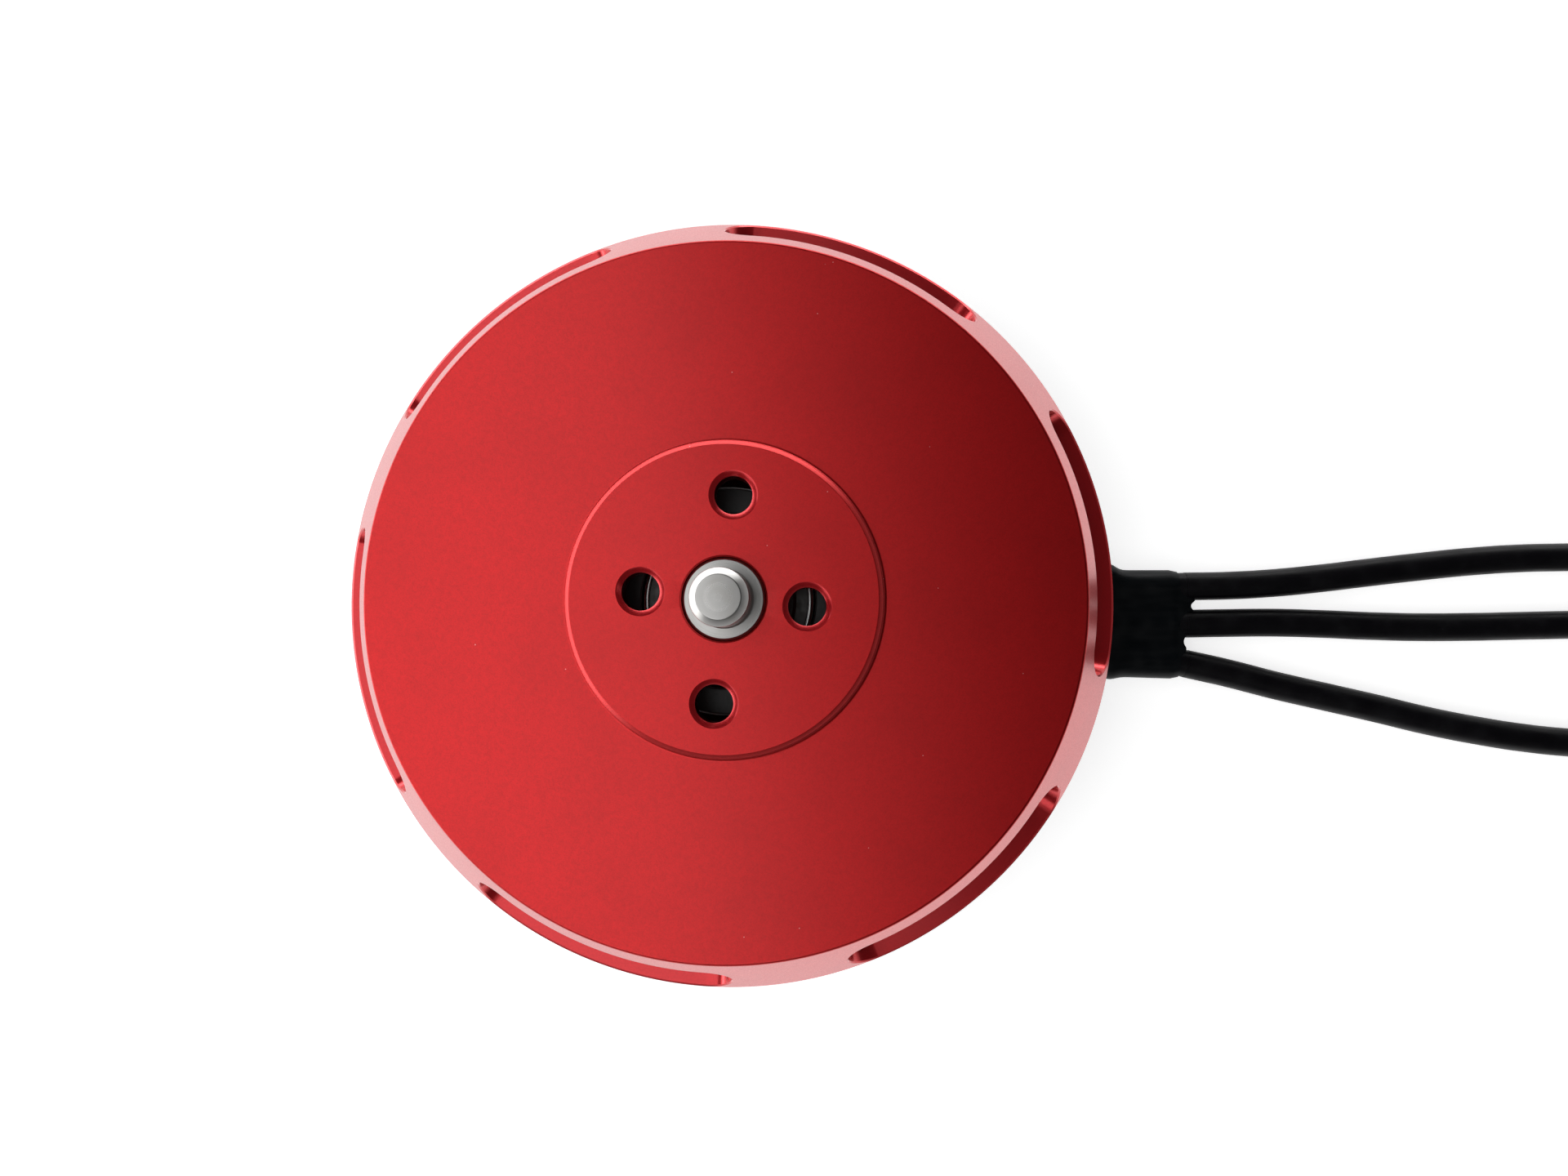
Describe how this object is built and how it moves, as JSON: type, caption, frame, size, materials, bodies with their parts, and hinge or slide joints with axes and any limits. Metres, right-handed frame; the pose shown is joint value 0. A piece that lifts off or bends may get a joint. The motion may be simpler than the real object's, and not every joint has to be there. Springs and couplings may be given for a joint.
{
  "type": "brushless outrunner motor",
  "caption": "Disc brushless outrunner motor with a red vented bell, a short stepped shaft, a flat mounting base and black leads with bullet connectors.",
  "frame": {"origin": "centre of the flat mounting face under the base, on the shaft's axis", "axes": "+Z along the shaft out of the bell, +X towards the side where the three leads leave"},
  "size_m": [0.26, 0.0988, 0.0419],
  "materials": {
    "red_anodised": "bead-blasted and anodised red, satin",
    "black_anodised": "black anodised, satin",
    "dark_steel": "blackened steel, satin",
    "bright_steel": "ground steel",
    "magnet_nickel": "nickel-plated magnet",
    "laminations": "stacked silicon steel, varnished edges",
    "insulator": "dull resin coating",
    "copper": "enamelled copper wire",
    "lead_silicone": "satin silicone rubber",
    "heat_shrink": "shrunk polyolefin tube, satin",
    "gold_plate": "gold-plated brass"
  },
  "bodies": {
    "stator": {"base_mount": "black_anodised", "stator_core": "laminations", "upper_insulator": "insulator", "lower_insulator": "insulator", "phase_a_winding": "copper", "phase_b_winding": "copper", "phase_c_winding": "copper", "upper_bearing_outer_race": "bright_steel", "upper_bearing_shield": "bright_steel", "lower_bearing_outer_race": "bright_steel", "lower_bearing_shield": "bright_steel", "lead_sleeve": "heat_shrink", "lead_a": "lead_silicone", "lead_a_shrink": "heat_shrink", "lead_a_bullet": "gold_plate", "lead_b": "lead_silicone", "lead_b_shrink": "heat_shrink", "lead_b_bullet": "gold_plate", "lead_c": "lead_silicone", "lead_c_shrink": "heat_shrink", "lead_c_bullet": "gold_plate"},
    "rotor": {"bell": "red_anodised", "flux_ring": "dark_steel", "shaft": "bright_steel", "shaft_circlip": "dark_steel", "thrust_washer": "bright_steel", "hub_set_screw_1": "dark_steel", "hub_set_screw_2": "dark_steel", "upper_bearing_inner_race": "bright_steel", "lower_bearing_inner_race": "bright_steel", "magnet_01": "magnet_nickel", "magnet_02": "magnet_nickel", "magnet_03": "magnet_nickel", "magnet_04": "magnet_nickel", "magnet_05": "magnet_nickel", "magnet_06": "magnet_nickel", "magnet_07": "magnet_nickel", "magnet_08": "magnet_nickel", "magnet_09": "magnet_nickel", "magnet_10": "magnet_nickel", "magnet_11": "magnet_nickel", "magnet_12": "magnet_nickel", "magnet_13": "magnet_nickel", "magnet_14": "magnet_nickel", "magnet_15": "magnet_nickel", "magnet_16": "magnet_nickel", "magnet_17": "magnet_nickel", "magnet_18": "magnet_nickel", "magnet_19": "magnet_nickel", "magnet_20": "magnet_nickel", "magnet_21": "magnet_nickel", "magnet_22": "magnet_nickel", "magnet_23": "magnet_nickel", "magnet_24": "magnet_nickel", "magnet_25": "magnet_nickel", "magnet_26": "magnet_nickel", "magnet_27": "magnet_nickel", "magnet_28": "magnet_nickel"},
    "upper_balls": {"upper_bearing_balls": "bright_steel"},
    "lower_balls": {"lower_bearing_balls": "bright_steel"}
  },
  "joints": [
    {"name": "rotor_spin", "type": "hinge", "parent": "stator", "child": "rotor", "pos_m": [0, 0, 0.0165], "axis": [0, 0, 1], "continuous": true},
    {"name": "upper_balls_orbit", "type": "hinge", "parent": "stator", "child": "upper_balls", "pos_m": [0, 0, 0.0207], "axis": [0, 0, 1], "continuous": true},
    {"name": "lower_balls_orbit", "type": "hinge", "parent": "stator", "child": "lower_balls", "pos_m": [0, 0, 0.0052], "axis": [0, 0, 1], "continuous": true}
  ],
  "couplings": [
    {"joint": "upper_balls_orbit", "follows": "rotor_spin", "ratio": 0.4125},
    {"joint": "lower_balls_orbit", "follows": "rotor_spin", "ratio": 0.4125}
  ]
}
